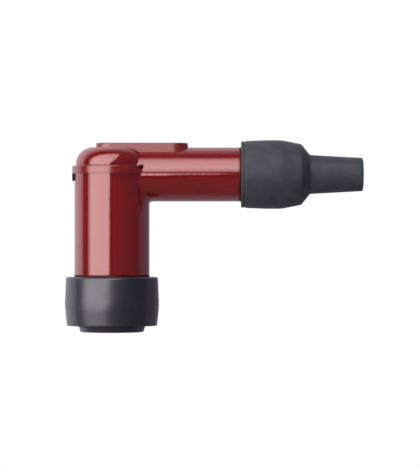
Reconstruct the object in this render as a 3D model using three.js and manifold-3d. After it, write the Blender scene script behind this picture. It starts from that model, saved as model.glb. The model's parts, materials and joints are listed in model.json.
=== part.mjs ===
// Right-angle spark plug cap with a suppressor resistor, in millimetres, +Z up.
// The origin is on the spark plug's axis, in the plane of the rubber boot's mouth,
// and the arm that takes the ignition lead points along +X.
import * as THREE from "three";
import { mergeVertices, toCreasedNormals } from "three/addons/utils/BufferGeometryUtils.js";
import Module from "manifold-3d";

const wasm = await Module();
wasm.setup();

// Clearances between pieces
const fitGap = 0.1; // beside and between pieces that touch on the real cap
const sink = 0.05; // how far an added form reaches into the one that carries it

// What the cap is pushed on and what is pushed into it
const nutRadius = 3.1; // the plug's solid terminal nut
const leadRadius = 3.5; // a 7 mm ignition lead

// Elbow moulding: the barrel over the plug, its head, and the arm over the lead
const armAxisHeight = 42.0;
const barrelRadius = 10.0;
const barrelWall = 3.5;
const barrelFootChamfer = 0.6;
const headRadius = 9.6;
const headCornerRadius = 4.4;
const ringFoot = 0.25; // above the arm's axis
const ringProud = 0.6;
const ringHeight = 2.05;
const ringCornerRadius = 0.25;
const armRadius = 7.2;
const armLength = 46.0; // from the plug's axis to the arm's open end
const armEndChamfer = 0.5;
const crotchFillet = 1.5;
const leadStop = 15.0; // from the plug's axis to the end wall of the lead's bore
const leadBoreClearance = 0.25;
const leadBoreChamfer = 0.6;
const gateStubRadius = 1.0; // stub left behind the barrel where the mould was filled
const gateStubDrop = 0.7; // below the arm's axis
const gateStubProud = 0.8;

// Flat pad on top of the elbow
const padLength = 24.4;
const padWidth = 7.8;
const padCentre = 8.0;
const padRise = 1.2;
const padEdgeRadius = 0.3;

// Ridges that hold the boots on the moulding
const bootRidgeRise = 0.5;
const bootRidgeWidth = 1.6;
const barrelRidgeHeight = 7.6;
const armRidgeInset = 4.0; // from the arm's open end

// Rubber boot at the plug
const plugBootHeight = 14.7;
const plugBootFloor = 4.4;
const plugBootTopRadius = 12.28;
const plugBootBellyRadius = 12.58;
const plugBootFootRadius = 12.02;
const plugBootTopCorner = 1.1;
const plugBootBellyCurve = 25;
const mouthCollarHeight = 1.7;
const mouthCollarRadius = 8.7;
const mouthCollarCorner = 1.0;
const mouthCollarFillet = 0.4;
const insulatorLipRadius = 4.9;
const insulatorLipRelief = 0.6;
const mouthChamfer = 1.1;

// Rubber boot at the lead
const leadBootOverlap = 11.6; // how far it reaches back over the arm
const leadBootMouthRadius = 8.88;
const leadBootBellyRadius = 9.15;
const leadBootBellyStart = 6.5; // from the boot's mouth
const leadBootBellyEnd = 10.8;
const leadBootBellyCurve = 12;
const leadBootWaist = 16.05; // from the boot's mouth to the end of its long taper
const leadBootWaistRadius = 8.12;
const leadBootWaistRounding = 1.2;
const leadBootNoseStart = 18.4; // from the boot's mouth
const leadBootNoseRadius = 5.2;
const leadBootTipRadius = 4.46;
const leadBootLength = 32.6;
const leadBootShoulderFillet = 0.6;
const leadBootRimWidth = 0.75;
const leadBootRimGroove = 0.14;
const leadBootEndWall = 4.0; // from the arm's end to the start of the lead's hole
const leadHoleRadius = 3.1;
const leadHoleBead = 0.15;
const leadHoleBeadPitch = 3.2;
const leadHoleBeads = 2;
const leadHoleChamfer = 0.3;

// Terminal that grips the plug's terminal nut
const terminalWall = 1.5;
const nutBoreClearance = 0.1;
const nutBoreDepth = 8.5;
const terminalWeb = 1.6; // metal between the nut's bore and the spring's cup
const terminalThreadRadius = 4.3;
const terminalFlangeRadius = 5.8;
const terminalFlangeThickness = 1.2;
const terminalFlangeDrop = 1.7; // from the cup's floor down to the flange's top
const springCupRadius = 2.75;
const screwdriverSlotWidth = 1.2;
const screwdriverSlotDepth = 1.5;
const washerThickness = 0.6;
const washerWidth = 1.5;

// Wire clip across the terminal
const clipWireRadius = 0.4;
const clipGrip = 0.35; // how far its legs reach into the nut's bore
const clipHeight = 4.2; // above the terminal's mouth
const clipBackReach = 1.95; // from the plug's axis back to the centre of its bend

// Spring and resistor
const springWireRadius = 0.25;
const springRadius = 2.15;
const springHeight = 4.0;
const springTurns = 5;
const resistorLength = 7.0; // over its end caps
const resistorRadius = 2.25;
const resistorCapWall = 0.25;
const resistorCapDepth = 1.9;
const resistorBoreClearance = 0.2;

// Contact block moulded into the head, and the screw that the lead is turned onto
const blockRadius = 4.0;
const blockHeight = 7.2;
const blockGrooveDepth = 0.4;
const blockGrooveWidth = 1.0;
const screwRootRadius = 1.9;
const screwRootDepth = 3.2; // how deep it is set in the block
const screwFlangeRadius = 3.45; // across its corners
const screwFlangeThickness = 1.2;
const spikeLength = 17.7;
const spikePointLength = 4.5;
const spikeCoreRadius = 1.25;
const spikeThreadRadius = 1.95;
const spikeThreadPitch = 1.8;

// Fineness of round forms
const bodySides = 40;
const bootSides = 32;
const metalSides = 20;
const wireSides = 6;

// Places that follow from the sizes above
const cavityRadius = barrelRadius - barrelWall;
const barrelFoot = plugBootFloor + fitGap;
const headTop = armAxisHeight + armRadius;
const leadBoreRadius = leadRadius + leadBoreClearance;
const blockFloor = armAxisHeight - blockHeight / 2;
const resistorTop = blockFloor - fitGap;
const resistorFoot = resistorTop - resistorLength;
const resistorCapRadius = resistorRadius + fitGap + resistorCapWall;
const resistorBoreRadius = resistorCapRadius + resistorBoreClearance;
const springTop = resistorFoot - fitGap;
const springFoot = springTop - springHeight;
const cupFloor = springFoot - fitGap;
const terminalTop = springTop - 4 * fitGap;
const nutBoreRoof = cupFloor - terminalWeb;
const terminalMouth = nutBoreRoof - nutBoreDepth;
const nutBoreRadius = nutRadius + nutBoreClearance;
const terminalRadius = nutBoreRadius + terminalWall;
const flangeTop = cupFloor - terminalFlangeDrop;
const cavityCeiling = flangeTop + washerThickness + 2 * fitGap;
const leadBootMouth = armLength - leadBootOverlap;
const screwFlangeStart = leadStop + fitGap;
const spikeStart = screwFlangeStart + screwFlangeThickness;
const clipLegOffset = nutBoreRadius + clipWireRadius - clipGrip;

const materials = {
  phenolic: new THREE.MeshStandardMaterial({ color: 0x8e1c20, roughness: 0.22, metalness: 0 }),
  rubber: new THREE.MeshStandardMaterial({ color: 0x3a3940, roughness: 0.62, metalness: 0 }),
  brass: new THREE.MeshStandardMaterial({ color: 0xb8964a, roughness: 0.3, metalness: 1 }),
  steel: new THREE.MeshStandardMaterial({ color: 0xa9a9ad, roughness: 0.28, metalness: 1 }),
  fibre: new THREE.MeshStandardMaterial({ color: 0x6e3b2c, roughness: 0.8, metalness: 0 }),
  ceramic: new THREE.MeshStandardMaterial({ color: 0x4b4844, roughness: 0.7, metalness: 0 }),
};

// A closed geometry as a solid that can be joined and cut.
function solid(geometry) {
  const bare = geometry.clone();
  bare.deleteAttribute("normal");
  bare.deleteAttribute("uv");
  const merged = mergeVertices(bare, 1e-4);
  return new wasm.Manifold(
    new wasm.Mesh({
      numProp: 3,
      vertProperties: merged.attributes.position.array,
      triVerts: new Uint32Array(merged.index.array),
    }),
  );
}

// A solid's surface as a geometry, smooth over its rounds and sharp at its edges.
function surface(shape) {
  const mesh = shape.getMesh();
  const geometry = new THREE.BufferGeometry();
  geometry.setAttribute("position", new THREE.BufferAttribute(mesh.vertProperties, 3));
  geometry.setIndex(new THREE.BufferAttribute(mesh.triVerts, 1));
  return toCreasedNormals(geometry, Math.PI / 6);
}

// A line through corners [radius, height, corner radius, arc steps], with arcs at rounded corners.
function profile(corners) {
  const points = [];
  corners.forEach(([x, y, rounding = 0, arcSteps = 2], i) => {
    const corner = new THREE.Vector2(x, y);
    const before = corners[i - 1];
    const after = corners[i + 1];
    if (!rounding || !before || !after) {
      points.push(corner);
      return;
    }
    const back = new THREE.Vector2(before[0], before[1]).sub(corner).normalize();
    const ahead = new THREE.Vector2(after[0], after[1]).sub(corner).normalize();
    const half = Math.acos(THREE.MathUtils.clamp(back.dot(ahead), -1, 1)) / 2;
    const start = back.clone().multiplyScalar(rounding / Math.tan(half));
    const end = ahead.clone().multiplyScalar(rounding / Math.tan(half));
    const toCentre = back.clone().add(ahead).normalize().multiplyScalar(rounding / Math.sin(half));
    const turnFrom = start.clone().sub(toCentre);
    const turn = end.clone().sub(toCentre).angle() - turnFrom.angle();
    const shortTurn = Math.atan2(Math.sin(turn), Math.cos(turn));
    for (let step = 0; step <= arcSteps; step++) {
      const spoke = turnFrom.clone().rotateAround(new THREE.Vector2(), (shortTurn * step) / arcSteps);
      points.push(corner.clone().add(toCentre).add(spoke));
    }
  });
  return points;
}

// A profile turned about the Z axis. A profile that doesn't end on the axis is closed on itself.
function revolve(points, sides) {
  const outline = points.slice();
  const first = outline[0];
  const last = outline[outline.length - 1];
  if (first.x > 0 || last.x > 0) outline.push(first.clone());
  if (THREE.ShapeUtils.isClockWise(outline)) outline.reverse();
  return new THREE.LatheGeometry(outline, sides).rotateX(Math.PI / 2);
}

// The same, turned about the arm's axis, with the profile's heights as places along +X.
function revolveOnArm(points, sides) {
  return revolve(points, sides).rotateY(Math.PI / 2).translate(0, 0, armAxisHeight);
}

// A solid skinned over sections that have the same number of points each.
function loft(sections) {
  const count = sections[0].length;
  const positions = sections.flat().flatMap((point) => point.toArray());
  const index = [];
  for (let s = 0; s < sections.length - 1; s++) {
    for (let p = 0; p < count; p++) {
      const a = s * count + p;
      const b = s * count + ((p + 1) % count);
      index.push(a, b, a + count, b, b + count, a + count);
    }
  }
  const lastStart = (sections.length - 1) * count;
  for (let p = 1; p < count - 1; p++) {
    index.push(0, p + 1, p, lastStart, lastStart + p, lastStart + p + 1);
  }
  const geometry = new THREE.BufferGeometry();
  geometry.setAttribute("position", new THREE.Float32BufferAttribute(positions, 3));
  geometry.setIndex(index);
  return geometry;
}

// Round wire along a curve.
function wire(curve, radius, steps) {
  const section = new THREE.Shape(
    Array.from({ length: wireSides }, (_, i) => {
      const angle = (2 * Math.PI * i) / wireSides;
      return new THREE.Vector2(radius * Math.cos(angle), radius * Math.sin(angle));
    }),
  );
  return new THREE.ExtrudeGeometry(section, { steps, extrudePath: curve, bevelEnabled: false });
}

function cylinderBetween(radius, from, to, sides) {
  return revolve(profile([[0, from], [radius, from], [radius, to], [0, to]]), sides);
}

function cylinderOnArm(radius, from, to, sides) {
  return revolveOnArm(profile([[0, from], [radius, from], [radius, to], [0, to]]), sides);
}

// Corners of a boot's holding ridge that stands on a wall of the given radius.
function ridgeCorners(wallRadius, centre) {
  const crest = wallRadius + bootRidgeRise;
  return [
    [wallRadius, centre - bootRidgeWidth / 2],
    [crest, centre - bootRidgeWidth / 4],
    [crest, centre + bootRidgeWidth / 4],
    [wallRadius, centre + bootRidgeWidth / 2],
  ];
}

// Barrel and head in one turned form, with the ring that marks the mould's parting plane.
function barrelAndHead() {
  const ringRadius = barrelRadius + ringProud;
  const ringBottom = armAxisHeight + ringFoot;
  const ringTop = ringBottom + ringHeight;
  return revolve(
    profile([
      [0, barrelFoot],
      [barrelRadius - barrelFootChamfer, barrelFoot],
      [barrelRadius, barrelFoot + barrelFootChamfer],
      ...ridgeCorners(barrelRadius, barrelRidgeHeight),
      [barrelRadius, ringBottom],
      [ringRadius, ringBottom, ringCornerRadius],
      [ringRadius, ringTop, ringCornerRadius],
      [headRadius, ringTop],
      [headRadius, headTop, headCornerRadius, 5],
      [0, headTop],
    ]),
    bodySides,
  );
}

// Round arm, from the plug's axis to its chamfered open end.
function arm() {
  return revolveOnArm(
    profile([
      [0, 0],
      [armRadius, 0],
      ...ridgeCorners(armRadius, armLength - armRidgeInset),
      [armRadius, armLength - armEndChamfer],
      [armRadius - armEndChamfer, armLength],
      [0, armLength],
    ]),
    bodySides,
  );
}

// Flat pad with round ends, which carries the marking on such caps and is plain here.
function pad() {
  const endRadius = padWidth / 2;
  const halfStraight = padLength / 2 - endRadius;
  const outline = new THREE.Shape();
  outline.absarc(halfStraight, 0, endRadius, -Math.PI / 2, Math.PI / 2, false);
  outline.absarc(-halfStraight, 0, endRadius, Math.PI / 2, (3 * Math.PI) / 2, false);
  outline.closePath();
  const top = headTop + padRise;
  const foot = headTop - headCornerRadius / 2;
  const slab = new THREE.ExtrudeGeometry(outline, {
    depth: top - foot - 2 * padEdgeRadius,
    curveSegments: 8,
    bevelThickness: padEdgeRadius,
    bevelSize: padEdgeRadius,
    bevelOffset: -padEdgeRadius,
    bevelSegments: 2,
  });
  return slab.translate(padCentre, 0, foot + padEdgeRadius);
}

// Fillet under the arm, rolled along the line where the arm's lower half meets the barrel.
function crotch() {
  const sections = [];
  const sectionCount = 24;
  const arcSteps = 3;
  for (let s = 0; s <= sectionCount; s++) {
    const around = Math.PI / 2 - (Math.PI * s) / sectionCount;
    const y = (armRadius + crotchFillet) * Math.sin(around);
    const drop = (armRadius + crotchFillet) * Math.cos(around);
    const reach = barrelRadius + crotchFillet;
    const centre = new THREE.Vector3(Math.sqrt(reach * reach - y * y), y, armAxisHeight - drop);
    const toBarrel = new THREE.Vector3(-centre.x, -centre.y, 0).setLength(crotchFillet);
    const toArm = new THREE.Vector3(0, -y, drop).setLength(crotchFillet);
    const section = [];
    for (let a = 0; a <= arcSteps; a++) {
      const share = a / arcSteps;
      const spoke = toBarrel.clone().lerp(toArm, share).setLength(crotchFillet);
      section.push(centre.clone().add(spoke));
    }
    const past = 1 + sink / crotchFillet;
    section.push(centre.clone().addScaledVector(toArm, past).addScaledVector(toBarrel, sink));
    section.push(centre.clone().add(toArm).add(toBarrel).addScaledVector(toArm, sink)
      .addScaledVector(toBarrel, sink));
    section.push(centre.clone().addScaledVector(toBarrel, past).addScaledVector(toArm, sink));
    sections.push(section);
  }
  return loft(sections);
}

// Stub behind the barrel, just under the ring, where the resin entered the mould.
function gateStub() {
  return new THREE.CylinderGeometry(gateStubRadius, gateStubRadius, 2 * gateStubProud, 12)
    .rotateZ(Math.PI / 2)
    .translate(-barrelRadius, 0, armAxisHeight - gateStubDrop);
}

// Everything that is hollow along the plug's axis: cavity, terminal thread and resistor bore.
function plugBore() {
  const threadHole = terminalThreadRadius + fitGap;
  const threadTop = terminalTop + fitGap;
  return revolve(
    profile([
      [0, barrelFoot - 1],
      [cavityRadius, barrelFoot - 1],
      [cavityRadius, cavityCeiling],
      [threadHole, cavityCeiling],
      [threadHole, threadTop],
      [resistorBoreRadius, threadTop],
      [resistorBoreRadius, armAxisHeight],
      [0, armAxisHeight],
    ]),
    metalSides,
  );
}

// Everything that is hollow along the arm: the lead's bore and the hole for the screw's shank.
function leadBore() {
  const mouth = leadBoreRadius + leadBoreChamfer;
  return revolveOnArm(
    profile([
      [0, 0],
      [screwRootRadius + fitGap, 0],
      [screwRootRadius + fitGap, leadStop],
      [leadBoreRadius, leadStop],
      [leadBoreRadius, armLength - leadBoreChamfer],
      [mouth, armLength],
      [mouth, armLength + 1],
      [0, armLength + 1],
    ]),
    metalSides,
  );
}

// The contact block's turned form, or the pocket that it is moulded into.
function blockForm(clearance) {
  const radius = blockRadius + clearance;
  const grooved = radius - blockGrooveDepth;
  const grooveHalf = blockGrooveWidth / 2 - clearance;
  const centres = [-1, 1].map((side) => armAxisHeight + (side * blockHeight) / 2.8);
  const grooves = centres.flatMap((centre) => [
    [radius, centre - grooveHalf],
    [grooved, centre - grooveHalf],
    [grooved, centre + grooveHalf],
    [radius, centre + grooveHalf],
  ]);
  return revolve(
    profile([
      [0, blockFloor - clearance],
      [radius, blockFloor - clearance],
      ...grooves,
      [radius, blockFloor + blockHeight + clearance],
      [0, blockFloor + blockHeight + clearance],
    ]),
    metalSides,
  );
}

function elbowBody() {
  return solid(barrelAndHead())
    .add(solid(arm()))
    .add(solid(pad()))
    .add(solid(crotch()))
    .add(solid(gateStub()))
    .subtract(solid(plugBore()))
    .subtract(solid(blockForm(fitGap)))
    .subtract(solid(leadBore()));
}

function plugBoot() {
  const pocket = barrelRadius + fitGap;
  const relief = insulatorLipRadius + insulatorLipRelief;
  const lipStep = (plugBootFloor - mouthChamfer) / 4;
  const outside = [
    [insulatorLipRadius + mouthChamfer, 0],
    [mouthCollarRadius, 0, mouthCollarCorner, 3],
    [mouthCollarRadius, mouthCollarHeight, mouthCollarFillet],
    [plugBootFootRadius, mouthCollarHeight, 0.25],
    [plugBootBellyRadius, barrelRidgeHeight, plugBootBellyCurve, 3],
    [plugBootTopRadius, plugBootHeight, plugBootTopCorner, 3],
  ];
  const inside = [
    [pocket + 0.3, plugBootHeight],
    [pocket, plugBootHeight - 0.5],
    ...ridgeCorners(pocket, barrelRidgeHeight).reverse(),
    [pocket, plugBootFloor],
    [cavityRadius, plugBootFloor],
    [insulatorLipRadius, plugBootFloor - lipStep],
    [relief, plugBootFloor - 2 * lipStep],
    [relief, plugBootFloor - 3 * lipStep],
    [insulatorLipRadius, mouthChamfer],
  ];
  return revolve(profile([...outside, ...inside]), bootSides);
}

function leadBoot() {
  const at = (distance) => leadBootMouth + distance;
  const pocket = armRadius + fitGap;
  const tip = at(leadBootLength);
  const rimEnd = leadBootRimWidth + 2 * leadBootRimGroove;
  const outside = [
    [pocket + 0.3, at(0)],
    [leadBootMouthRadius - 0.35, at(0)],
    [leadBootMouthRadius, at(0.35)],
    [leadBootMouthRadius, at(leadBootRimWidth)],
    [leadBootMouthRadius - leadBootRimGroove, at(leadBootRimWidth + leadBootRimGroove)],
    [leadBootMouthRadius, at(rimEnd)],
    [leadBootBellyRadius, at(leadBootBellyStart), leadBootBellyCurve],
    [leadBootBellyRadius, at(leadBootBellyEnd), leadBootBellyCurve],
    [leadBootWaistRadius, at(leadBootWaist), leadBootWaistRounding],
    [leadBootNoseRadius, at(leadBootNoseStart), leadBootShoulderFillet],
    [leadBootTipRadius, tip, 0.25],
  ];
  const beads = Array.from({ length: leadHoleBeads }, (_, i) => {
    const centre = tip - leadHoleBeadPitch * (i + 0.5);
    return [
      [leadHoleRadius, centre + leadHoleBeadPitch / 4],
      [leadHoleRadius - leadHoleBead, centre],
      [leadHoleRadius, centre - leadHoleBeadPitch / 4],
    ];
  }).flat();
  const inside = [
    [leadHoleRadius + leadHoleChamfer, tip],
    [leadHoleRadius, tip - leadHoleChamfer],
    ...beads,
    [leadHoleRadius, armLength + leadBootEndWall],
    [armRadius - armEndChamfer, armLength + fitGap],
    [pocket, armLength + fitGap],
    ...ridgeCorners(pocket, armLength - armRidgeInset).reverse(),
    [pocket, at(0.5)],
  ];
  return revolveOnArm(profile([...outside, ...inside]), bootSides);
}

// The clip's wire runs in this slot: all of the terminal at that height but a U-shaped neck.
function clipSlot() {
  const halfHeight = clipWireRadius + fitGap;
  const neckHalfWidth = clipLegOffset - clipWireRadius - fitGap;
  const slab = cylinderBetween(
    terminalRadius + 1,
    terminalMouth + clipHeight - halfHeight,
    terminalMouth + clipHeight + halfHeight,
    metalSides,
  );
  const outline = new THREE.Shape();
  outline.moveTo(terminalRadius + 2, -neckHalfWidth);
  outline.lineTo(terminalRadius + 2, neckHalfWidth);
  outline.absarc(-clipBackReach, 0, neckHalfWidth, Math.PI / 2, (3 * Math.PI) / 2, false);
  outline.closePath();
  const neck = new THREE.ExtrudeGeometry(outline, {
    depth: 4 * halfHeight,
    curveSegments: 8,
    bevelEnabled: false,
  });
  neck.translate(0, 0, terminalMouth + clipHeight - 2 * halfHeight);
  return solid(slab).subtract(solid(neck));
}

function plugTerminal() {
  const turned = revolve(
    profile([
      [0, nutBoreRoof],
      [nutBoreRadius, nutBoreRoof],
      [nutBoreRadius, terminalMouth + 0.4],
      [nutBoreRadius + 0.4, terminalMouth],
      [terminalRadius - 0.3, terminalMouth],
      [terminalRadius, terminalMouth + 0.3],
      [terminalRadius, flangeTop - terminalFlangeThickness],
      [terminalFlangeRadius, flangeTop - terminalFlangeThickness],
      [terminalFlangeRadius, flangeTop],
      [terminalThreadRadius, flangeTop],
      [terminalThreadRadius, terminalTop],
      [springCupRadius, terminalTop],
      [springCupRadius, cupFloor],
      [0, cupFloor],
    ]),
    metalSides,
  );
  const slot = new THREE.BoxGeometry(3 * terminalRadius, screwdriverSlotWidth, 2 * screwdriverSlotDepth)
    .translate(0, 0, terminalMouth);
  return solid(turned).subtract(clipSlot()).subtract(solid(slot));
}

// Hairpin of spring wire: two legs pass through the terminal's sides and grip the nut.
function terminalClip() {
  const legEnd = terminalRadius - 2 * clipWireRadius;
  const outline = new THREE.Path();
  outline.moveTo(legEnd, clipLegOffset);
  outline.lineTo(-clipBackReach, clipLegOffset);
  outline.absarc(-clipBackReach, 0, clipLegOffset, Math.PI / 2, (3 * Math.PI) / 2, false);
  outline.lineTo(legEnd, -clipLegOffset);
  const height = terminalMouth + clipHeight;
  const centreline = new THREE.CatmullRomCurve3(
    outline.getSpacedPoints(28).map((point) => new THREE.Vector3(point.x, point.y, height)),
  );
  return wire(centreline, clipWireRadius, 28);
}

function terminalWasher() {
  const outer = terminalThreadRadius + fitGap + washerWidth;
  const inner = terminalThreadRadius + fitGap;
  const foot = flangeTop + fitGap;
  return revolve(
    profile([
      [inner, foot],
      [outer, foot],
      [outer, foot + washerThickness],
      [inner, foot + washerThickness],
    ]),
    metalSides,
  );
}

// Coil spring that presses the resistor against the contact block.
function contactSpring() {
  const rise = springHeight - 2 * springWireRadius;
  class Helix extends THREE.Curve {
    getPoint(t, target = new THREE.Vector3()) {
      const angle = 2 * Math.PI * springTurns * t;
      const height = springFoot + springWireRadius + rise * t;
      return target.set(springRadius * Math.cos(angle), springRadius * Math.sin(angle), height);
    }
  }
  return wire(new Helix(), springWireRadius, springTurns * 12);
}

function resistorRod() {
  const foot = resistorFoot + resistorCapWall + fitGap;
  const top = resistorTop - resistorCapWall - fitGap;
  return cylinderBetween(resistorRadius, foot, top, metalSides);
}

// Drawn metal cup over one end of the resistor rod. side is -1 for the lower end, 1 for the upper.
function resistorCap(side) {
  const end = side < 0 ? resistorFoot : resistorTop;
  const into = (distance) => end - side * distance;
  return revolve(
    profile([
      [0, into(0)],
      [resistorCapRadius, into(0), 0.2],
      [resistorCapRadius, into(resistorCapDepth)],
      [resistorCapRadius - resistorCapWall, into(resistorCapDepth)],
      [resistorCapRadius - resistorCapWall, into(resistorCapWall)],
      [0, into(resistorCapWall)],
    ]),
    metalSides,
  );
}

function contactBlock() {
  const hole = cylinderOnArm(
    screwRootRadius + fitGap,
    blockRadius - screwRootDepth - fitGap,
    blockRadius + 1,
    metalSides,
  );
  return solid(blockForm(0)).subtract(solid(hole));
}

// Coarse thread as a ridge wound round the spike's core.
function spikeThread() {
  const stepsPerTurn = 12;
  const turns = Math.floor((spikeLength - spikePointLength / 3) / spikeThreadPitch);
  const rootHalf = spikeThreadPitch * 0.32;
  const crestHalf = spikeThreadPitch * 0.06;
  const tip = spikeStart + spikeLength;
  const sections = [];
  for (let s = 0; s <= turns * stepsPerTurn; s++) {
    const angle = (2 * Math.PI * s) / stepsPerTurn;
    const along = spikeStart - screwFlangeThickness / 2 + (spikeThreadPitch * s) / stepsPerTurn;
    const left = Math.min(1, (tip - along) / spikePointLength);
    const crest = sink + (spikeThreadRadius - spikeCoreRadius) * Math.min(1, 1.5 * left);
    const at = (radius, offset) => new THREE.Vector3(
      along + offset,
      radius * Math.cos(angle),
      armAxisHeight + radius * Math.sin(angle),
    );
    // On the point the ridge rides on the cone, so its two feet stand at different radii.
    const coreAt = (offset) => spikeCoreRadius * Math.min(1, (tip - along - offset) / spikePointLength);
    sections.push([
      at(coreAt(-rootHalf) - 2 * sink, -rootHalf),
      at(coreAt(rootHalf) - 2 * sink, rootHalf),
      at(coreAt(crestHalf) + crest, crestHalf),
      at(coreAt(-crestHalf) + crest, -crestHalf),
    ]);
  }
  return loft(sections);
}

// The screw that the lead's core is turned onto: root, shank, hexagonal flange and pointed spike.
function cableScrew() {
  const rootEnd = blockRadius - screwRootDepth;
  const tip = spikeStart + spikeLength;
  const shank = cylinderOnArm(screwRootRadius, rootEnd, spikeStart - sink, metalSides);
  const flange = cylinderOnArm(screwFlangeRadius, screwFlangeStart, spikeStart, 6);
  const core = revolveOnArm(
    profile([
      [0, spikeStart - sink],
      [spikeCoreRadius, spikeStart - sink],
      [spikeCoreRadius, tip - spikePointLength],
      [0, tip],
    ]),
    metalSides / 2,
  );
  return solid(core).add(solid(spikeThread())).add(solid(shank)).add(solid(flange));
}

const cap = new THREE.Group();
cap.name = "spark_plug_cap";

function place(name, shape, material) {
  const geometry = shape.isBufferGeometry ? shape : surface(shape);
  const mesh = new THREE.Mesh(geometry, material);
  mesh.name = name;
  cap.add(mesh);
}

place("elbow_body", elbowBody(), materials.phenolic);
place("plug_boot", plugBoot(), materials.rubber);
place("lead_boot", leadBoot(), materials.rubber);
place("plug_terminal", plugTerminal(), materials.brass);
place("terminal_clip", terminalClip(), materials.steel);
place("terminal_washer", terminalWasher(), materials.fibre);
place("contact_spring", contactSpring(), materials.steel);
place("resistor_rod", resistorRod(), materials.ceramic);
place("resistor_cap_lower", resistorCap(-1), materials.steel);
place("resistor_cap_upper", resistorCap(1), materials.steel);
place("contact_block", contactBlock(), materials.brass);
place("cable_screw", cableScrew(), materials.brass);

export default cap;
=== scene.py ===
# Looks of the right-angle spark plug cap, built round its CAD frame. The cap's sizes, outlines
# and distance fields are in millimetres, and the camera's and the studio's lengths in metres.
import json
import math

import bmesh
import bpy
import numpy as np
from mathutils import Matrix, Vector

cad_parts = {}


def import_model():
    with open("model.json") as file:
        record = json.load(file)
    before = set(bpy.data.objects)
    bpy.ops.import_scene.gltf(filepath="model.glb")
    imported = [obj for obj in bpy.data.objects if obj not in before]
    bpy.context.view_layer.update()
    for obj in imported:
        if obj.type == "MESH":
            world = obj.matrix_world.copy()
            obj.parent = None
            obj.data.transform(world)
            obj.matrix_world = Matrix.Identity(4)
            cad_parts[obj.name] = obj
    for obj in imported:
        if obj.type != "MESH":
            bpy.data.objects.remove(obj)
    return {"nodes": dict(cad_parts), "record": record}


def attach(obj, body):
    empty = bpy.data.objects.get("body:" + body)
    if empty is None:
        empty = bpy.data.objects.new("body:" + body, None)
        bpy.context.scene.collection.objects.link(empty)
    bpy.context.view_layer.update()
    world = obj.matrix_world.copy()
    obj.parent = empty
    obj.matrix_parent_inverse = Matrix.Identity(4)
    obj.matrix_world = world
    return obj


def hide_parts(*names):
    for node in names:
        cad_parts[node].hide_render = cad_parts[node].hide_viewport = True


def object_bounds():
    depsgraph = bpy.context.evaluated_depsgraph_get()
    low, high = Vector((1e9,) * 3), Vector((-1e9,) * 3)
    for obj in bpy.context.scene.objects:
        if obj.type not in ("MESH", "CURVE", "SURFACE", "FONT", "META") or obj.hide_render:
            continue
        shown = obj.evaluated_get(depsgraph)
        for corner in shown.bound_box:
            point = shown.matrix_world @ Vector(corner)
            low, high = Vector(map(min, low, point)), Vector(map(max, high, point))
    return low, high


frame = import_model()
cad_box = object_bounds()

MM = 0.001

# Sizes of the real cap, in millimetres, mostly as its CAD source has them
ARM_AXIS = 42.0
BARREL_RADIUS = 10.0
BARREL_FOOT = 4.5
CAVITY_RADIUS = 6.5
CAVITY_CEILING = 26.2
HEAD_RADIUS = 9.6
HEAD_CORNER = 4.4
RING_RADIUS = 10.6
RING_FOOT = ARM_AXIS + 0.25
RING_HEIGHT = 2.05
ARM_RADIUS = 7.2
ARM_LENGTH = 46.0
ARM_TOP = ARM_AXIS + ARM_RADIUS
PAD_LENGTH = 24.4
PAD_WIDTH = 7.8
PAD_CENTRE = 8.0
PAD_TOP = ARM_TOP + 1.2
RIDGE_RISE = 0.5
RIDGE_WIDTH = 1.6
BARREL_RIDGE = 7.6
ARM_RIDGE = ARM_LENGTH - 4.0
LEAD_STOP = 15.0
LEAD_BORE_RADIUS = 3.75
SCREW_HOLE_RADIUS = 2.0
RESISTOR_BORE_RADIUS = 2.8
THREAD_HOLE_RADIUS = 4.4
THREAD_HOLE_TOP = 30.9
BLOCK_RADIUS = 4.1
BLOCK_HALF_HEIGHT = 3.7
GATE_RADIUS = 1.0
GATE_HEIGHT = ARM_AXIS - 0.7
BOOT_CLEARANCE = 0.1
BARREL_SEAT = 4.4
PLUG_BOOT_TOP = 14.7
LEAD_BOOT_MOUTH = 34.4
LEAD_BOOT_TIP = 67.0
LEAD_HOLE_RADIUS = 3.1
LEAD_FLARE_RADIUS = 6.7
LEAD_FLARE_LENGTH = 4.0
MOUTH_FLARE = 0.3
MOUTH_FLARE_DEPTH = 0.5

# How far forms run into each other, the height inside the cavity where the narrower bores start,
# and how far the lead's bore runs out of the arm, where none of it shows
OVERLAP = 1.0
BORES_FOOT = 20.0
BORE_RUN_OUT = 5.0

# Fine forms that only the looks have, and roundings of edges, in millimetres
GATE_PROUD = 0.6
GATE_ROOT = -9.0
GATE_RIM = 0.15
CROTCH_FILLET = 0.6
BARREL_RIM = 0.5
ARM_RIM = 0.4
CAVITY_RIM = 0.2
BORE_EDGE = 0.3
COVE = 0.12
DOME_FOOT = RING_FOOT + 0.5
RING_SHIFT = 0.15
RING_UPPER_RIM = 0.25
RING_LOWER_RIM = 0.08
PAD_ROOT = ARM_TOP - 1.6
PAD_DRAFT = math.radians(5)
PAD_RIM = 0.3
# Not a form: the point in the crevice between ring and arm where dark shade is painted, and its
# radius
CREVICE_SHADE_SPOT = (7.95, -7.25, RING_FOOT + RING_HEIGHT - 0.3)
CREVICE_SHADE_RADIUS = 0.6

# The parting line: a groove along the arm. Its fades are shares of the depth that are lost between
# two places along the arm, and its waves are radians a millimetre. The grid is that many times
# finer there, and by its margins below and above.
PARTING_DEPTH = 0.12
PARTING_TOP = RING_FOOT + 0.2
PARTING_STEP = 0.2
PARTING_WIDTH = 0.95
PARTING_FADES = ((0.45, 12, 18), (0.3, 26, 32))
PARTING_UNEVEN = 0.15
PARTING_SHORT_WAVE = 5.3
PARTING_LONG_WAVE = 2.1
PARTING_GRID = 4
PARTING_MARGINS = (0.1, 0.15)

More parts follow.
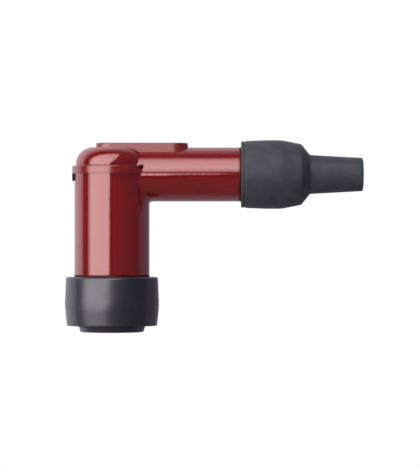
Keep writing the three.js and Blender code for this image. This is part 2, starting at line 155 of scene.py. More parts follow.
# The boots' outlines: corners as radius, place along the axis, rounding and arc steps
PLUG_BOOT_COLLAR = (
    (6.0, 0.0, 0.2),
    (8.45, 0.0, 0.55),
    (8.68, 0.95, 0.1),
    (8.85, 1.4, 0.2),
    (8.62, 1.75, 0.1),
)
PLUG_BOOT_WALL = (
    (12.02, 1.7, 0.3),
    (12.57, 6.9, 22.0, 10),
    (12.28, PLUG_BOOT_TOP, 0.65),
)
PLUG_BOOT_LIPS = (
    (4.9, 3.575, 0.2),
    (5.5, 2.75, 0.2),
    (5.5, 1.925, 0.2),
    (4.9, 1.1, 0.25),
)
LEAD_BOOT_RIM = (
    (8.82, LEAD_BOOT_MOUTH, 0.35),
    (8.88, LEAD_BOOT_MOUTH + 0.6, 0.12),
    (8.75, LEAD_BOOT_MOUTH + 0.78, 0.08),
    (8.77, LEAD_BOOT_MOUTH + 1.0, 0.1),
    (8.94, LEAD_BOOT_MOUTH + 1.5, 0.5),
)
LEAD_BOOT_WALL = (
    (9.15, LEAD_BOOT_MOUTH + 6.5, 20.0, 10),
    (9.15, LEAD_BOOT_MOUTH + 10.8, 12.0, 10),
    (8.12, LEAD_BOOT_MOUTH + 16.05, 1.2),
    (5.2, LEAD_BOOT_MOUTH + 18.4, 0.6),
)
LEAD_BOOT_TUBE = (
    (4.44, LEAD_BOOT_TIP - 0.25, 0.35),
    (3.6, LEAD_BOOT_TIP, 0.2),
    (LEAD_HOLE_RADIUS, LEAD_BOOT_TIP - 0.4, 0.2),
)

# Meshing: the grid's step, how far a point lies beside each arc to hold its ends flat, and the
# weld distance are in millimetres
STEP = 0.33
MARGIN_STEPS = 2
SETTLING_STEPS = 6
ARC_STEPS = 6
DOME_ARC_STEPS = 24
TURNED_SIDES = 160
ARC_HOLD = 0.04
WELD = 0.001
SHARP_ANGLE = math.radians(30)

# The photograph's camera: pixels of the 420 by 466 frame and the scale at the plug's axis
PHOTO_HEIGHT_PX = 466
PHOTO_CENTRE_PX = (210, 233)
AXIS_PX = 112
MOUTH_PX = 332
MM_PER_PX = 0.2667
CAMERA_DISTANCE = 0.8
CAMERA_NEAR = 0.01
CAMERA_FAR = 20.0
SENSOR = 36.0


# Distance fields: each returns millimetres to a form's surface, negative inside it

def cylinder(radial, along, radius, low, high, rounding=0.0):
    """A cylinder with rounded rims, from its points' distance from its axis and place along it."""
    across = radial - radius + rounding
    over = np.abs(along - (low + high) / 2) - (high - low) / 2 + rounding
    outside = np.hypot(np.maximum(across, 0), np.maximum(over, 0))
    return np.minimum(np.maximum(across, over), 0) + outside - rounding


def ridge(radial, along, wall, centre):
    """A boot's holding ridge, with sloping flanks, round a wall of that radius."""
    slope = math.atan2(RIDGE_WIDTH / 4, RIDGE_RISE)
    flank = np.abs(along - centre) - RIDGE_WIDTH / 2
    flank = (radial - wall) * math.sin(slope) + flank * math.cos(slope)
    return np.maximum(radial - wall - RIDGE_RISE, flank)


def fillet(a, b, radius):
    """Two forms joined with a fillet of that radius between them."""
    reach = np.hypot(np.maximum(radius - a, 0), np.maximum(radius - b, 0))
    return np.maximum(radius, np.minimum(a, b)) - reach


def cut(a, b, rounding):
    """Form a with form b cut out of it, and the cut's edges rounded."""
    reach = np.hypot(np.maximum(rounding + a, 0), np.maximum(rounding - b, 0))
    return np.minimum(-rounding, np.maximum(a, -b)) + reach


def smoothstep(x, low, high):
    """A smooth rise from 0 at low to 1 at high."""
    t = np.clip((x - low) / (high - low), 0, 1)
    return t * t * (3 - 2 * t)


def pad_field(x, y, z):
    """The raised pad across head and arm: round ends, drafted walls and a rounded rim."""
    end = PAD_WIDTH / 2
    past_ends = np.maximum(np.abs(x - PAD_CENTRE) - (PAD_LENGTH / 2 - end), 0)
    across = np.hypot(past_ends, y) - end + PAD_RIM
    across = (across + (z - PAD_TOP) * math.tan(PAD_DRAFT)) * math.cos(PAD_DRAFT)
    over = np.abs(z - (PAD_TOP + PAD_ROOT) / 2) - (PAD_TOP - PAD_ROOT) / 2 + PAD_RIM
    outside = np.hypot(np.maximum(across, 0), np.maximum(over, 0))
    return np.minimum(np.maximum(across, over), 0) + outside - PAD_RIM


def parting_groove(x, z):
    """Depth of the fine groove along the arm where the mould's halves meet: a steep upper wall
    and a gentle lower one, a little uneven, and fainter towards the lead's end."""
    below = PARTING_TOP - z
    upper = below / PARTING_STEP
    lower = (PARTING_WIDTH - below) / (PARTING_WIDTH - PARTING_STEP)
    faint = 1 - sum(share * smoothstep(x, start, end) for share, start, end in PARTING_FADES)
    wave = np.sin(PARTING_SHORT_WAVE * x) * np.sin(PARTING_LONG_WAVE * x + 1)
    uneven = 1 - PARTING_UNEVEN + PARTING_UNEVEN * wave
    return PARTING_DEPTH * faint * uneven * np.clip(np.minimum(upper, lower), 0, 1)


def elbow_field(x, y, z):
    """The resin moulding without its dome, ring and pad: barrel, arm and gate stub, less its bores.
    Bores that run on into another overlap it."""
    from_plug = np.hypot(x, y)
    from_arm = np.hypot(y, z - ARM_AXIS)
    from_gate = np.hypot(y, z - GATE_HEIGHT)
    barrel = cylinder(from_plug, z, BARREL_RADIUS, BARREL_FOOT, RING_FOOT + OVERLAP, BARREL_RIM)
    arm = cylinder(from_arm + parting_groove(x, z), x, ARM_RADIUS, 0, ARM_LENGTH, ARM_RIM)
    gate = cylinder(from_gate, x, GATE_RADIUS, -BARREL_RADIUS - GATE_PROUD, GATE_ROOT, GATE_RIM)
    form = fillet(fillet(barrel, arm, CROTCH_FILLET), gate, GATE_RIM)
    form = np.minimum(form, ridge(from_plug, z, BARREL_RADIUS, BARREL_RIDGE))
    form = np.minimum(form, ridge(from_arm, x, ARM_RADIUS, ARM_RIDGE))
    hollow = cylinder(from_plug, z, CAVITY_RADIUS, 0, CAVITY_CEILING, CAVITY_RIM)
    for bore in (
        (from_plug, z, THREAD_HOLE_RADIUS, BORES_FOOT, THREAD_HOLE_TOP),
        (from_plug, z, RESISTOR_BORE_RADIUS, BORES_FOOT, ARM_AXIS),
        (from_plug, z, BLOCK_RADIUS, ARM_AXIS - BLOCK_HALF_HEIGHT, ARM_AXIS + BLOCK_HALF_HEIGHT),
        (from_arm, x, SCREW_HOLE_RADIUS, 0, LEAD_STOP + OVERLAP),
        (from_arm, x, LEAD_BORE_RADIUS, LEAD_STOP, ARM_LENGTH + BORE_RUN_OUT),
    ):
        hollow = np.minimum(hollow, cylinder(*bore))
    return cut(form, hollow, BORE_EDGE)


def gradient(field, points, reach=0.01):
    """Unit normals of a field at an array of points, from its values at that reach round them."""
    slopes = []
    for axis in range(3):
        offset = np.zeros(3)
        offset[axis] = reach
        slopes.append(field(*(points + offset).T) - field(*(points - offset).T))
    normals = np.stack(slopes, axis=1)
    return normals / np.maximum(np.linalg.norm(normals, axis=1, keepdims=True), 1e-9)


def add_object(name, data):
    """A new object in the scene for a mesh, a lamp or a camera."""
    obj = bpy.data.objects.new(name, data)
    bpy.context.collection.objects.link(obj)
    return obj


def field_mesh(name, field, ticks):
    """A mesh object on a field's surface: one vertex in each grid cell that the surface crosses,
    drawn onto the surface, and one face across each grid edge that it crosses."""
    grid = np.stack(np.meshgrid(*ticks, indexing="ij"), axis=-1)
    values = field(grid[..., 0], grid[..., 1], grid[..., 2])
    inside = values < 0
    cells = tuple(n - 1 for n in inside.shape)
    count = np.zeros(cells, dtype=np.int8)
    for corner in np.ndindex(2, 2, 2):
        window = tuple(slice(corner[i], corner[i] + cells[i]) for i in range(3))
        count += inside[window]
    crossed = (count > 0) & (count < 8)
    number = np.full(cells, -1, dtype=np.int64)
    number[crossed] = np.arange(crossed.sum())
    middles = [(tick[1:] + tick[:-1]) / 2 for tick in ticks]
    points = np.stack([middles[i][at] for i, at in enumerate(np.nonzero(crossed))], axis=1)
    for _ in range(SETTLING_STEPS):
        points = points - gradient(field, points) * field(*points.T)[:, None]
    faces = []
    for axis in range(3):
        one = tuple(slice(1, None) if i == axis else slice(None) for i in range(3))
        two = tuple(slice(None, -1) if i == axis else slice(None) for i in range(3))
        starts = np.argwhere(inside[two] != inside[one])
        u, v = (axis + 1) % 3, (axis + 2) % 3
        starts = starts[(starts[:, u] > 0) & (starts[:, v] > 0)]
        starts = starts[(starts[:, u] < inside.shape[u] - 1) & (starts[:, v] < inside.shape[v] - 1)]
        corners = []
        for back_u, back_v in ((1, 1), (0, 1), (0, 0), (1, 0)):
            cell = starts.copy()
            cell[:, u] -= back_u
            cell[:, v] -= back_v
            corners.append(number[tuple(cell.T)])
        quads = np.stack(corners, axis=1)
        outward = inside[tuple(starts.T)]
        faces.append(np.where(outward[:, None], quads, quads[:, ::-1]))
    mesh = bpy.data.meshes.new(name)
    mesh.from_pydata((points * MM).tolist(), [], np.concatenate(faces).tolist())
    mesh.update()
    mesh.shade_smooth()
    mesh.normals_split_custom_set_from_vertices(gradient(field, points).tolist())
    return add_object(name, mesh)


def grid_ticks(low, high, step, margin):
    """Places of a grid's planes along each axis, from a low corner to a high one, with a margin."""
    return [np.arange(low[i] - margin, high[i] + margin + step, step) for i in range(3)]


def elbow(step):
    """The moulding's surface, on a grid that is finer across the parting groove."""
    low = (-RING_RADIUS, -RING_RADIUS, BARREL_FOOT)
    high = (ARM_LENGTH, RING_RADIUS, PAD_TOP)
    ticks = grid_ticks(low, high, step, MARGIN_STEPS * step)
    fine = step / PARTING_GRID
    below, above = PARTING_MARGINS
    groove = np.arange(PARTING_TOP - PARTING_WIDTH - below, PARTING_TOP + above, fine)
    outside = (ticks[2] < groove[0] - fine / 2) | (ticks[2] > groove[-1] + fine / 2)
    ticks[2] = np.sort(np.concatenate([ticks[2][outside], groove]))
    return field_mesh("elbow_skin", elbow_field, ticks)


def pad(step):
    """The raised pad's surface, on a grid twice as fine as the moulding's."""
    low = (PAD_CENTRE - PAD_LENGTH / 2, -PAD_WIDTH / 2, PAD_ROOT)
    high = (PAD_CENTRE + PAD_LENGTH / 2, PAD_WIDTH / 2, PAD_TOP)
    return field_mesh("pad_skin", pad_field, grid_ticks(low, high, step / 2, MARGIN_STEPS * step))


# Turned forms

def rounded_outline(corners):
    """Points along corners (radius, place, rounding, arc steps), with arcs at rounded corners and
    a point just before and after each arc, so that shading stays flat on the straight stretches."""
    points = []
    total = len(corners)
    for i, corner in enumerate(corners):
        here = Vector(corner[:2])
        rounding = corner[2] if len(corner) > 2 else 0
        arc_steps = corner[3] if len(corner) > 3 else ARC_STEPS
        if not rounding:
            points.append(here)
            continue
        back = (Vector(corners[i - 1][:2]) - here).normalized()
        ahead = (Vector(corners[(i + 1) % total][:2]) - here).normalized()
        half = back.angle(ahead) / 2
        centre = here + (back + ahead).normalized() * (rounding / math.sin(half))
        start = here + back * (rounding / math.tan(half))
        end = here + ahead * (rounding / math.tan(half))
        points.append(start + back * ARC_HOLD)
        sweep = (start - centre).angle_signed(end - centre)
        for step in range(arc_steps + 1):
            angle = -sweep * step / arc_steps
            spoke = start - centre
            swung = Vector((
                spoke.x * math.cos(angle) - spoke.y * math.sin(angle),
                spoke.x * math.sin(angle) + spoke.y * math.cos(angle),
            ))
            points.append(centre + swung)
        points.append(end + ahead * ARC_HOLD)
    return points


def turned(name, points, along):
    """A closed outline turned about the plug's axis ("Z") or the arm's axis ("X")."""
    mesh = bpy.data.meshes.new(name)
    bm = bmesh.new()
    rings = []
    for point in points:
        ring = []
        for side in range(TURNED_SIDES):
            angle = 2 * math.pi * side / TURNED_SIDES
            a = point.x * math.cos(angle)
            b = point.x * math.sin(angle)
            place = (a, b, point.y) if along == "Z" else (point.y, a, ARM_AXIS + b)
            ring.append(bm.verts.new(Vector(place) * MM))
        rings.append(ring)
    for i, ring in enumerate(rings):
        following = rings[(i + 1) % len(rings)]
        for side in range(TURNED_SIDES):
            after = (side + 1) % TURNED_SIDES
            bm.faces.new((ring[side], ring[after], following[after], following[side]))
    bmesh.ops.remove_doubles(bm, verts=bm.verts, dist=WELD * MM)
    bmesh.ops.recalc_face_normals(bm, faces=bm.faces)
    bm.to_mesh(mesh)
    bm.free()
    mesh.shade_smooth()
    mesh.set_sharp_from_angle(angle=SHARP_ANGLE)
    return add_object(name, mesh)


def ridge_pocket(wall, centre):
    """Corners of the groove in a boot that takes a holding ridge."""
    crest = wall + RIDGE_RISE
    return [
        (wall, centre + RIDGE_WIDTH / 2),
        (crest, centre + RIDGE_WIDTH / 4),
        (crest, centre - RIDGE_WIDTH / 4),
        (wall, centre - RIDGE_WIDTH / 2),
    ]


def dome():
    """Dome over the barrel, on top of the contact block, with a fine cove round its foot."""
    block_top = ARM_AXIS + BLOCK_HALF_HEIGHT
    ring_top = RING_FOOT + RING_HEIGHT
    outline = rounded_outline([
        (0, block_top),
        (BLOCK_RADIUS, block_top),
        (BLOCK_RADIUS, DOME_FOOT),
        (HEAD_RADIUS - COVE, DOME_FOOT),
        (HEAD_RADIUS - COVE, ring_top),
        (HEAD_RADIUS, ring_top + COVE),
        (HEAD_RADIUS, ARM_TOP, HEAD_CORNER, DOME_ARC_STEPS),
        (0, ARM_TOP),
    ])
    return turned("dome_skin", outline, "Z")


def ring():
    """Ring under the dome, which stands out a little further on the arm's side."""
    inner = BLOCK_RADIUS + OVERLAP
    outer = RING_RADIUS + RING_SHIFT
    outline = rounded_outline([
        (inner, RING_FOOT),
        (outer, RING_FOOT, RING_LOWER_RIM),
        (outer, RING_FOOT + RING_HEIGHT, RING_UPPER_RIM),
        (inner, RING_FOOT + RING_HEIGHT),
    ])
    piece = turned("ring_skin", outline, "Z")
    piece.data.transform(Matrix.Translation((RING_SHIFT * MM, 0, 0)))
    return piece


def plug_boot():
    """Boot on the barrel's foot: collar, bellied wall, ridge pocket, seat and the mouth's lips."""
    pocket = BARREL_RADIUS + BOOT_CLEARANCE
    outline = rounded_outline([
        *PLUG_BOOT_COLLAR,
        *PLUG_BOOT_WALL,
        (pocket + MOUTH_FLARE, PLUG_BOOT_TOP, 0.15),
        (pocket, PLUG_BOOT_TOP - MOUTH_FLARE_DEPTH),
        *ridge_pocket(pocket, BARREL_RIDGE),
        (pocket, BARREL_SEAT),
        (CAVITY_RADIUS, BARREL_SEAT, 0.2),
        *PLUG_BOOT_LIPS,
    ])
    return turned("plug_boot_skin", outline, "Z")


def lead_boot():
    """Boot on the arm's end: grooved rim, bellied wall, tube with the lead's hole, ridge pocket."""
    pocket = ARM_RADIUS + BOOT_CLEARANCE
    seat = ARM_LENGTH + BOOT_CLEARANCE
    outline = rounded_outline([
        *LEAD_BOOT_RIM,
        *LEAD_BOOT_WALL,
        *LEAD_BOOT_TUBE,
        (LEAD_HOLE_RADIUS, ARM_LENGTH + LEAD_FLARE_LENGTH),
        (LEAD_FLARE_RADIUS, seat),
        (pocket, seat),
        *ridge_pocket(pocket, ARM_RIDGE),
        (pocket, LEAD_BOOT_MOUTH + MOUTH_FLARE_DEPTH),
        (pocket + MOUTH_FLARE, LEAD_BOOT_MOUTH, 0.1),
    ])
    return turned("lead_boot_skin", outline, "X")


# Materials

class Nodes:
    """The node tree of a material or a world, with short ways to add and link nodes."""

    def __init__(self, owner, coordinates="Object"):
        owner.use_nodes = True
        self.owner = owner
        self.tree = owner.node_tree
        self.shader = self.tree.nodes.get("Principled BSDF")
        self.place = self.add("ShaderNodeTexCoord").outputs[coordinates]

    def add(self, kind, **settings):
        """A new node of that kind, with its settings."""
        node = self.tree.nodes.new(kind)
        for key, value in settings.items():
            setattr(node, key, value)
        return node

    def link(self, source, target):
        self.tree.links.new(source, target)

    def shade(self, sockets):
        """Sets sockets of the shader, each to a plain value or to another node's output."""
        for name, value in sockets.items():
            if isinstance(value, bpy.types.NodeSocket):
                self.link(value, self.shader.inputs[name])
            else:
                self.shader.inputs[name].default_value = value

    def noise(self, scale, detail=4.0, stretch=None, roughness=0.55):
        """Fractal noise, of a scale per metre, denser by the stretch along each axis."""
        source = self.place
        if stretch:
            mapping = self.add("ShaderNodeMapping")
            mapping.inputs["Scale"].default_value = stretch
            self.link(source, mapping.inputs["Vector"])
            source = mapping.outputs["Vector"]
        node = self.add("ShaderNodeTexNoise")
        node.inputs["Scale"].default_value = scale
        node.inputs["Detail"].default_value = detail
        node.inputs["Roughness"].default_value = roughness
        self.link(source, node.inputs["Vector"])
        return node.outputs["Fac"]

    def ramp(self, source, low, high, from_low=0.3, from_high=0.7):
        """The source's stretch between two values, spread from low to high and clamped."""
        node = self.add("ShaderNodeMapRange")
        node.inputs["From Min"].default_value = from_low
        node.inputs["From Max"].default_value = from_high
        node.inputs["To Min"].default_value = low
        node.inputs["To Max"].default_value = high
        self.link(source, node.inputs["Value"])
        return node.outputs["Result"]

    def mix(self, factor, first, second):
        """The first colour where the factor is 0 and the second where it is 1. Each is a colour or
        another node's output."""
        node = self.add("ShaderNodeMix", data_type="RGBA")
        self.link(factor, node.inputs["Factor"])
        for socket, value in (("A", first), ("B", second)):
            if isinstance(value, tuple):
                node.inputs[socket].default_value = (*value, 1)
            else:
                self.link(value, node.inputs[socket])
        return node.outputs["Result"]

    def combine(self, operation, first, second):
        """Two outputs joined by a Math node's operation."""
        node = self.add("ShaderNodeMath", operation=operation)
        self.link(first, node.inputs[0])
        self.link(second, node.inputs[1])
        return node.outputs["Value"]

    def most(self, first, second):
        """The larger of two outputs."""
        return self.combine("MAXIMUM", first, second)

    def band(self, axis, low, high, fade):
        """1 where a coordinate is between two places in millimetres, fading to 0 on both sides."""
        split = self.add("ShaderNodeSeparateXYZ")
        self.link(self.place, split.inputs["Vector"])
        rise = self.ramp(split.outputs[axis], 0, 1, (low - fade) * MM, low * MM)
        fall = self.ramp(split.outputs[axis], 1, 0, high * MM, (high + fade) * MM)
        return self.combine("MULTIPLY", rise, fall)

    def near(self, point, full, none):
        """1 within so many millimetres of a point, 0 past a second distance."""
        node = self.add("ShaderNodeVectorMath", operation="DISTANCE")
        node.inputs[1].default_value = [c * MM for c in point]
        self.link(self.place, node.inputs[0])
        return self.ramp(node.outputs["Value"], 1, 0, full * MM, none * MM)

    def lean(self, ray, axis):
        """How far a direction leans along an axis: their dot product."""
        node = self.add("ShaderNodeVectorMath", operation="DOT_PRODUCT")
        node.inputs[1].default_value = axis
        self.link(ray, node.inputs[0])
        return node.outputs["Value"]

    def bump(self, height, depth, under=None):
        """Normals of a relief of that depth in millimetres, laid over other normals if given."""
        node = self.add("ShaderNodeBump")
        node.inputs["Strength"].default_value = 1.0
        node.inputs["Distance"].default_value = depth * MM
        self.link(height, node.inputs["Height"])
        if under is not None:
            self.link(under, node.inputs["Normal"])
        return node.outputs["Normal"]


# Looks of resin, rubber and paper. Colours are linear red, green and blue, and a rubber's third is
# the tint of its shine.
RESIN = (0.16, 0.0034, 0.0036)
PALE_RESIN = (0.18, 0.0044, 0.0048)
# Colour of the painted shade at the gate stub, the ring's crevice and the boots' edges
RESIN_PAINTED_SHADE = (0.012, 0.002, 0.003)
RESIN_SHINE = (1, 0.2, 0.21)
RESIN_IOR = 1.85
FINISH_SPREAD = 0.04
# How dull the resin is where its shade is painted
PAINTED_SHADE_ROUGHNESS = 0.75
SATIN_RUBBER = ((0.002, 0.0075, 0.013), (0.006, 0.0115, 0.018), (0.95, 0.7, 1))
DULL_RUBBER = ((0.016, 0.0245, 0.033), (0.044, 0.0395, 0.048), (0.9, 0.86, 1))
RUBBER_SHEEN = (0.95, 0.9, 1)
SATIN_LEFT = 0.68
PAPER = ((0.8, 0.8, 0.8), (0.776, 0.776, 0.776))

# The inner pieces' materials: dulled turned brass with tool marks, drawn and plated steel, pressed
# fibre and unglazed ceramic. Tone, finish and grain are noises, each a scale, a detail and a
# stretch. Roughness is the finish's range, and depth the grain's in millimetres.
INNER_MATERIALS = {
    "terminal_brass": {
        "colours": ((0.62, 0.42, 0.15), (0.46, 0.3, 0.12)),
        "tone": (500, 6),
        "finish": (900, 5),
        "roughness": (0.22, 0.42),
        "grain": (60, 2, (1, 1, 90)),
        "depth": 0.015,
        "metallic": 1.0,
    },
    "spring_steel": {
        "colours": ((0.56, 0.56, 0.57), (0.42, 0.42, 0.44)),
        "tone": (900, 4),
        "finish": (2600, 4),
        "roughness": (0.18, 0.34),
        "grain": (4000, 2),
        "depth": 0.004,
        "metallic": 1.0,
    },
    "fibre_washer": {
        "colours": ((0.2, 0.07, 0.04), (0.12, 0.04, 0.025)),
        "tone": (2400, 6, (1, 1, 6)),
        "finish": (1500, 4),
        "roughness": (0.7, 0.9),
        "grain": (3600, 4),
        "depth": 0.02,
    },
    "resistor_ceramic": {
        "colours": ((0.14, 0.13, 0.12), (0.08, 0.075, 0.07)),
        "tone": (3800, 5),
        "finish": (1800, 4),
        "roughness": (0.6, 0.8),
        "grain": (5200, 3),
        "depth": 0.01,
    },
}

# Painted shade in the resin, dark and dull, in millimetres: over the gate stub and the barrel
# beside it, in the crevice where the ring meets the arm, and at each boot's edge. A spot is a
# point, the radius that is dark and the radius where it ends: two at the gate stub and one in the
# crevice.
# A band is an axis, a start, an end and a fade: one at each boot's edge.
PAINTED_SHADE_SPOTS = (
    ((-BARREL_RADIUS - GATE_PROUD / 2, -0.8, GATE_HEIGHT), 1.3, 1.6),
    ((-BARREL_RADIUS + 0.25, -2.3, GATE_HEIGHT), 0.8, 1.05),
    (CREVICE_SHADE_SPOT, CREVICE_SHADE_RADIUS, CREVICE_SHADE_RADIUS + 0.35),
)
# Painted contact shade on the resin where each boot meets it
PAINTED_CONTACT_SHADE_BANDS = (
    ("Z", PLUG_BOOT_TOP - 0.7, PLUG_BOOT_TOP + 0.35, 0.45),
    ("X", LEAD_BOOT_MOUTH - 0.2, LEAD_BOOT_MOUTH + 1, 0.7),
)


def phenolic(name, roughness, gloss_roughness):
    """Polished dark red thermoset: clear gloss with fine waves over a faintly mottled body, and
    painted shade, with neither gloss nor red, at the gate stub, the ring's crevice and the boots'
    edges."""
    n = Nodes(bpy.data.materials.new(name))
    body = n.mix(n.ramp(n.noise(260, detail=5), 0, 1), RESIN, PALE_RESIN)
    # Painted shade: a mask at the gate stub, the ring's crevice and the boots' edges, where the
    # resin is made dark and dull
    painted_shade = n.near(*PAINTED_SHADE_SPOTS[0])
    for spot in PAINTED_SHADE_SPOTS[1:]:
        painted_shade = n.most(painted_shade, n.near(*spot))
    for band in PAINTED_CONTACT_SHADE_BANDS:
        painted_shade = n.most(painted_shade, n.band(*band))
    fine = n.ramp(n.noise(900), roughness - FINISH_SPREAD, roughness + FINISH_SPREAD)
    waves = n.bump(n.noise(180, detail=2), depth=0.02)
    peel = n.bump(n.noise(1800, detail=2), depth=0.0012, under=waves)
    n.shade({
        "Base Color": n.mix(painted_shade, body, RESIN_PAINTED_SHADE),
        "Roughness": n.most(fine, n.ramp(painted_shade, 0, PAINTED_SHADE_ROUGHNESS, 0, 1)),
        "Normal": peel,
        "IOR": RESIN_IOR,
        "Specular Tint": (*RESIN_SHINE, 1),
        "Coat Weight": n.ramp(painted_shade, 1, 0, 0, 1),
        "Coat Roughness": gloss_roughness,
        "Coat IOR": RESIN_IOR,
        "Coat Normal": waves,
    })
    return n.owner


def rubber(name, colours, patches, roughness, satin):
    """Black moulded rubber with a fine grain and a faint bloom in patches of a noise's scale. Its
    satin skin has that weight, and less where it is worn."""
    deep, pale, shine = colours
    n = Nodes(bpy.data.materials.new(name))
    grain = n.bump(n.noise(5200, detail=3), depth=0.006)
    n.shade({
        "Base Color": n.mix(n.ramp(n.noise(patches, detail=6), 0, 1), deep, pale),
        "Roughness": n.ramp(n.noise(420, detail=6), roughness - 0.05, roughness + 0.06),
        "Normal": n.bump(n.noise(300, detail=3), depth=0.03, under=grain),
        "IOR": 1.6,
        "Specular Tint": (*shine, 1),
        "Coat Weight": n.ramp(n.noise(210, detail=7, roughness=0.65), SATIN_LEFT * satin, satin),
        "Coat Roughness": 0.27,
        "Coat IOR": 1.8,
        "Sheen Weight": 0.12,
        "Sheen Roughness": 0.3,
        "Sheen Tint": (*RUBBER_SHEEN, 1),
    })
    return n.owner


def plain(name, colours, tone, finish, roughness, grain, depth, metallic=0.0):
    """One of the inner pieces' materials, from its row of the table."""
    n = Nodes(bpy.data.materials.new(name))
    n.shade({
        "Base Color": n.mix(n.ramp(n.noise(*tone), 0, 1), *colours),
        "Metallic": metallic,
        "Roughness": n.ramp(n.noise(*finish), *roughness),
        "Normal": n.bump(n.noise(*grain), depth),
    })
    return n.owner


# The studio. Its directions are as seen from the cap: -Y is the front, +Y behind and +Z up.
FLOOR_DEPTH = 1.1
FLOOR_SIZE = 10.0
ROOM = (0.075, 0.075, 0.1)
ROOM_LOW = (0.13, 0.11, 0.12)
BACKDROP_RIGHT = (0.18, 0.155, 0.21)
BACKDROP_LEFT = (0.85, 0.83, 0.88)
WHITE = (1.0, 1.0, 1.0)

# Where the world's colours change: a direction, and how far a ray leans along it where the change
# starts and ends. In turn: the room paler low down, the backdrop paler to the left, the backdrop's
# near edge and its dimming overhead.
LOW_DOWN = ((0, -0.3, -1), 0.1, 0.9)
TO_THE_LEFT = ((-0.9, 0, 0.43), -0.5, 0.85)
BEHIND = ((0.06, 0.997, 0), 0.08, 0.18)
NOT_OVERHEAD = ((0, 1, -0.5), -0.58, 0.2)

# The softbox's corners, as azimuth and elevation seen from the object
SOFTBOX_CORNERS = ((84, -25), (5, -25), (-45, 63), (98, 63))
SOFTBOX_CENTRE = (36.6, 31.2)
SOFTBOX_DISTANCE = 1.5
SOFTBOX_RADIANCE = 2.8
SOFTBOX_TOP_RADIANCE = 0.68 * SOFTBOX_RADIANCE

# Its left, top, right and bottom edges, as planes through the object: the inward normal of each,
# and how far the light takes to fade in across it, low down and higher up, as an angle's sine
SOFTBOX_EDGES = (
    ((0.305, -0.945, 0.12), 0.17, 0.17),
    ((0.082, -0.934, -0.349), 0.17, 0.17),
    ((-0.876, 0.107, 0.468), 0.045, 0.15),
    ((-0.155, -0.178, 0.972), 0.2, 0.2),
)

# Heights, as an elevation's sine, between which the light dims towards its top, and between which
# its edges go from their low fade to their high one
SOFTBOX_DIMMING = (0.5, 0.9)
SOFTBOX_FADING = (0.02, 0.25)

# Weak soft lamps that open the shaded sides and show in no reflection: name, azimuth, elevation
# and watts
LAMPS = (
    ("fill", -55, 5, 0.7),
    ("top", 10, 80, 3.6),
    ("rim", 125, 20, 7.0),
)
LAMP_DISTANCE = 0.9
LAMP_SIZE = 0.8


def direction(azimuth, elevation):
    """Unit vector at an azimuth, from the front towards the left, and an elevation in degrees."""
    azimuth = math.radians(azimuth)
    elevation = math.radians(elevation)
    across = math.cos(elevation)
    return Vector((-math.sin(azimuth) * across, -math.cos(azimuth) * across, math.sin(elevation)))


def panel(name, corners, material):
    """A flat stage panel with four corners."""
    mesh = bpy.data.meshes.new(name)
    mesh.from_pydata(corners, [], [(0, 1, 2, 3)])
    mesh.materials.append(material)
    obj = add_object(name, mesh)
    return obj


def white_paper():
    """Pale paper that the camera sees as plain white."""
    n = Nodes(bpy.data.materials.new("white_paper"))
    n.shade({
        "Base Color": n.mix(n.ramp(n.noise(40, detail=3), 0, 1), *PAPER),
        "Roughness": 0.9,
    })
    glow = n.add("ShaderNodeEmission")
    mix = n.add("ShaderNodeMixShader")
    n.link(n.add("ShaderNodeLightPath").outputs["Is Camera Ray"], mix.inputs["Fac"])
    n.link(n.shader.outputs["BSDF"], mix.inputs[1])
    n.link(glow.outputs["Emission"], mix.inputs[2])
    n.link(mix.outputs["Shader"], n.tree.nodes["Material Output"].inputs["Surface"])
    return n.owner


def floor():
    """A pale floor that shows in no reflection."""
    half = FLOOR_SIZE / 2
    corners = [(-half, -half, 0), (half, -half, 0), (half, half, 0), (-half, half, 0)]
    obj = panel("floor", corners, white_paper())
    obj.location.z = -FLOOR_DEPTH
    obj.visible_glossy = False


def world():
    """Plain white to the camera. To the object it is a dim room in front, a little paler low down,
    and behind it a backdrop that goes from white at the left to a cool grey at the right, and that
    dims overhead."""
    n = Nodes(bpy.data.worlds.new("studio"), "Generated")
    bpy.context.scene.world = n.owner

    def along(axis, low, high):
        """How far the ray's direction leans along an axis, from 0 at low to 1 at high."""
        return n.ramp(n.lean(n.place, axis), 0, 1, low, high)

    front = n.mix(along(*LOW_DOWN), ROOM, ROOM_LOW)
    backdrop = n.mix(along(*TO_THE_LEFT), BACKDROP_RIGHT, BACKDROP_LEFT)
    behind = n.combine("MULTIPLY", along(*BEHIND), along(*NOT_OVERHEAD))
    room = n.mix(behind, front, backdrop)
    seen = n.add("ShaderNodeLightPath").outputs["Is Camera Ray"]
    n.link(n.mix(seen, room, WHITE), n.tree.nodes["Background"].inputs["Color"])


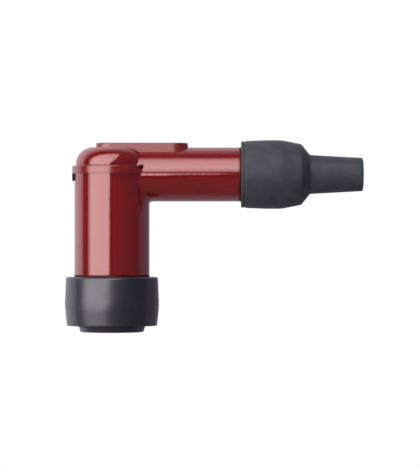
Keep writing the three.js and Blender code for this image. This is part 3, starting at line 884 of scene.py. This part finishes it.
def softbox(target):
    """One large soft light in front, to the left and above, that fades out at its edges and is
    a little dimmer towards its top."""
    toward = direction(*SOFTBOX_CENTRE)
    corners = []
    for corner in SOFTBOX_CORNERS:
        aim = direction(*corner)
        corners.append(target + aim * (SOFTBOX_DISTANCE / aim.dot(toward)))
    n = Nodes(bpy.data.materials.new("softbox_cloth"))
    offset = n.add("ShaderNodeVectorMath", operation="SUBTRACT")
    offset.inputs[1].default_value = target
    n.link(n.place, offset.inputs[0])
    unit = n.add("ShaderNodeVectorMath", operation="NORMALIZE")
    n.link(offset.outputs["Vector"], unit.inputs[0])
    ray = unit.outputs["Vector"]
    height = n.lean(ray, (0, 0, 1))
    level = n.ramp(height, SOFTBOX_RADIANCE, SOFTBOX_TOP_RADIANCE, *SOFTBOX_DIMMING)
    for inward, low_fade, high_fade in SOFTBOX_EDGES:
        fade = n.ramp(height, low_fade, high_fade, *SOFTBOX_FADING)
        edge = n.ramp(n.combine("DIVIDE", n.lean(ray, inward), fade), 0, 1, -1, 1)
        edge.node.interpolation_type = "SMOOTHSTEP"
        level = n.combine("MULTIPLY", level, edge)
    glow = n.add("ShaderNodeEmission")
    n.link(level, glow.inputs["Strength"])
    n.link(glow.outputs["Emission"], n.tree.nodes["Material Output"].inputs["Surface"])
    panel("softbox", corners, n.owner).visible_camera = False


def lamps(target):
    """The weak lamps, each facing the target."""
    for name, azimuth, elevation, watts in LAMPS:
        lamp = bpy.data.lights.new(name, "AREA")
        lamp.shape = "SQUARE"
        lamp.size = LAMP_SIZE
        lamp.energy = watts
        obj = add_object(name, lamp)
        toward = direction(azimuth, elevation)
        obj.location = target + LAMP_DISTANCE * toward
        obj.rotation_mode = "QUATERNION"
        obj.rotation_quaternion = toward.to_track_quat("Z", "Y")
        obj.visible_glossy = False


def camera():
    """The photograph's camera: level and straight from the front."""
    aim_x = (PHOTO_CENTRE_PX[0] - AXIS_PX) * MM_PER_PX * MM
    aim_z = (MOUTH_PX - PHOTO_CENTRE_PX[1]) * MM_PER_PX * MM
    data = bpy.data.cameras.new("camera")
    data.sensor_width = SENSOR
    data.lens = SENSOR * CAMERA_DISTANCE / (PHOTO_HEIGHT_PX * MM_PER_PX * MM)
    data.clip_start = CAMERA_NEAR
    data.clip_end = CAMERA_FAR
    obj = add_object("camera", data)
    obj.location = (aim_x, -CAMERA_DISTANCE, aim_z)
    obj.rotation_euler = (math.pi / 2, 0, 0)
    bpy.context.scene.camera = obj


def studio():
    """Floor, world, lights and camera round the cap."""
    middle = (cad_box[0] + cad_box[1]) / 2
    floor()
    world()
    softbox(middle)
    lamps(middle)
    camera()


def dress():
    """Gives every CAD solid its material, and puts finer pieces in place of the moulding and the
    boots."""
    red = phenolic("red_phenolic", roughness=0.2, gloss_roughness=0.06)
    worn_red = phenolic("worn_red_phenolic", roughness=0.3, gloss_roughness=0.17)
    dull_red = phenolic("dull_red_phenolic", roughness=0.42, gloss_roughness=0.34)
    black = rubber("black_rubber", SATIN_RUBBER, patches=140, roughness=0.52, satin=1)
    dull_black = rubber("dull_black_rubber", DULL_RUBBER, patches=240, roughness=0.7, satin=0.08)
    made = {name: plain(name, **looks) for name, looks in INNER_MATERIALS.items()}
    made["red_phenolic"] = red
    made["black_rubber"] = black
    for entry in frame["record"]["subparts"]:
        node = frame["nodes"][entry["node"]]
        node.data.materials.clear()
        node.data.materials.append(made[entry["material_slot"]])
    step = STEP
    skins = (
        (elbow(step), "elbow_body", "red_phenolic", red),
        (pad(step), "elbow_body", "red_phenolic", dull_red),
        (dome(), "elbow_body", "red_phenolic", red),
        (ring(), "elbow_body", "red_phenolic", worn_red),
        (plug_boot(), "plug_boot", "black_rubber", black),
        (lead_boot(), "lead_boot", "black_rubber", dull_black),
    )
    for piece, node, slot, material in skins:
        piece.data.materials.append(material)
        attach(piece, "root")
        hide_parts(node)


dress()
studio()
bpy.context.scene.view_settings.view_transform = "Standard"
